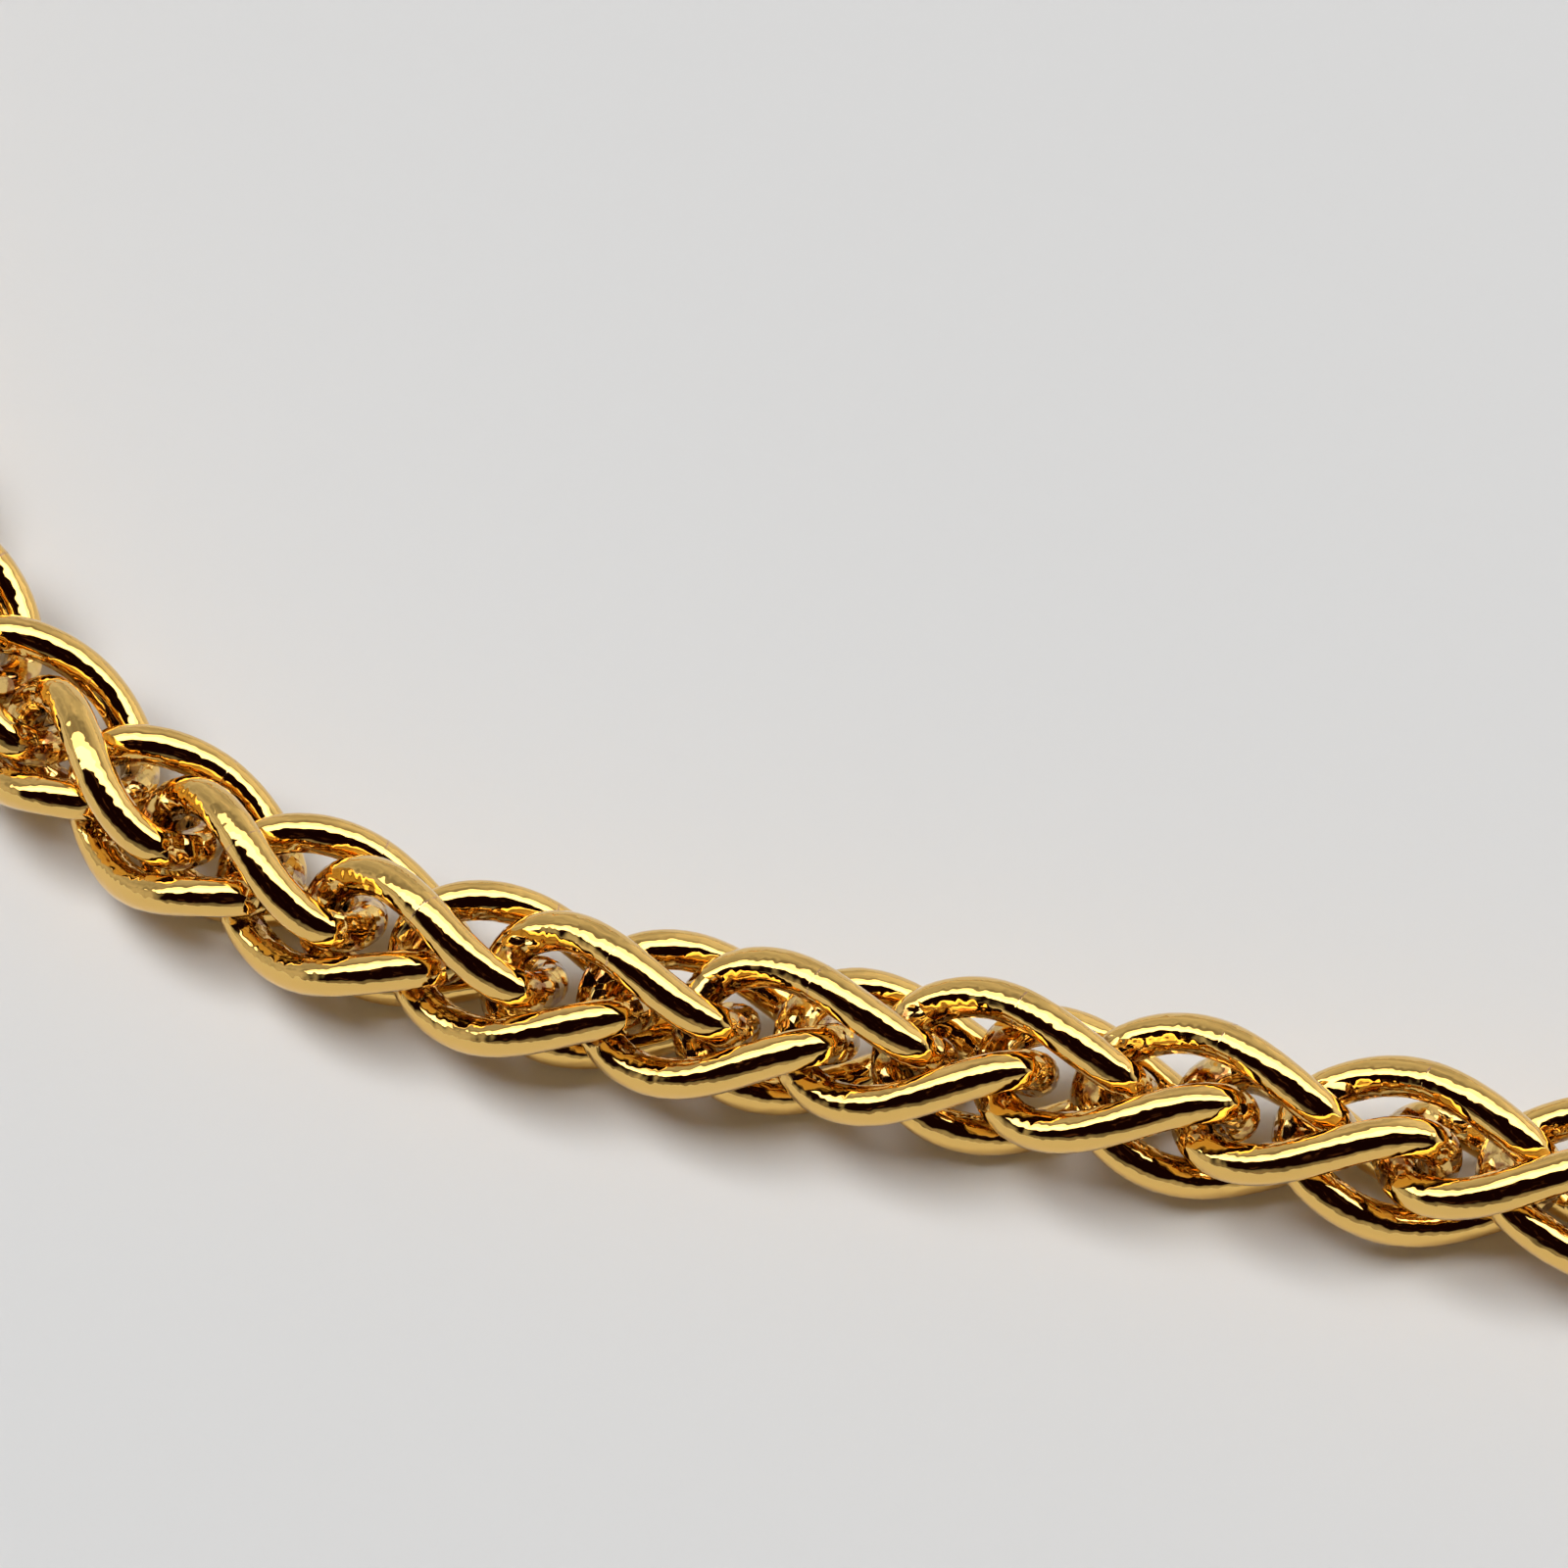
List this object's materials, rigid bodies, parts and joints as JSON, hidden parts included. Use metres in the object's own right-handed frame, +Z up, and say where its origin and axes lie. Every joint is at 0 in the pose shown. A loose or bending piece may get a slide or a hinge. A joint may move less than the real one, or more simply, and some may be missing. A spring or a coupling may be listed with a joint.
{
  "type": "wheat chain necklace",
  "caption": "Neck chain of quarter-twisted oval wire links, woven into a round braid with a row of Vs and closed into a loop by jump rings and a plain ring clasp.",
  "frame": {"origin": "under the middle of the loop's box, on the surface that the chain lies on", "axes": "+Z up, off the surface; -Y towards the front of the loop, the stretch that the picture shows; +Y towards the clasp at the back"},
  "size_m": [0.1411, 0.1581, 0.0053],
  "materials": {
    "polished_gold": "polished yellow gold plate"
  },
  "bodies": {
    "root": {"right_twist_strand": "polished_gold", "left_twist_strand": "polished_gold", "eye_ring": "polished_gold", "clasp": "polished_gold", "catch_ring": "polished_gold"}
  },
  "joints": []
}
